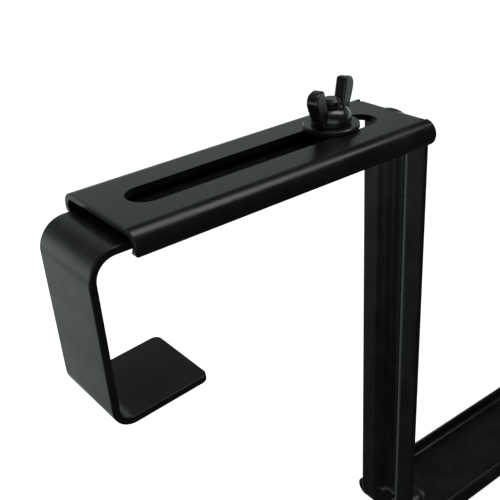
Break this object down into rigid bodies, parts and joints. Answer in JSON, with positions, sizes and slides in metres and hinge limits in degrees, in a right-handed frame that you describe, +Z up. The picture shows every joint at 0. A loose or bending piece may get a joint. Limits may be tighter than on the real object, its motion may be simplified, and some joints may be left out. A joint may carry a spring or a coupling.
{
  "type": "adjustable rail hanger bracket",
  "caption": "Pressed steel Z-shaped bracket that hangs on a rail, with a channel arm and base, a ribbed post, and a flat-bar hook that slides along a slot and is clamped by a wing nut.",
  "frame": {"origin": "on the post's rail-side face, on the centre plane, level with the lowest line of the arm's rolled edges, where the rail lies", "axes": "+X from the arm's free end past the post and out along the base, +Y across the width, +Z up"},
  "size_m": [0.236, 0.038, 0.1969],
  "materials": {
    "black_coated_sheet": "satin powder coat",
    "black_coated_bar": "satin powder coat",
    "black_bolt": "black coated steel",
    "black_washer": "black coated steel",
    "black_cast_nut": "black coated casting"
  },
  "bodies": {
    "frame": {"frame": "black_coated_sheet"},
    "washer": {"flat_washer": "black_washer"},
    "wing_nut": {"wing_nut": "black_cast_nut"},
    "hook": {"hook": "black_coated_bar", "carriage_bolt": "black_bolt"}
  },
  "joints": [
    {"name": "hook_slide", "type": "slide", "parent": "frame", "child": "washer", "axis": [1, 0, 0], "range_m": [-0.0694, 0.0107]},
    {"name": "nut_turn", "type": "hinge", "parent": "washer", "child": "wing_nut", "pos_m": [-0.0266, 0.0015, 0.01], "axis": [0, 0, 1], "range_deg": [-840, 721]},
    {"name": "hook_lift", "type": "slide", "parent": "washer", "child": "hook", "axis": [0, 0, 1], "range_m": [-0.002, 0.00233]}
  ],
  "couplings": [
    {"joint": "nut_turn", "follows": "hook_lift", "rad_per_m": -6283.2}
  ]
}
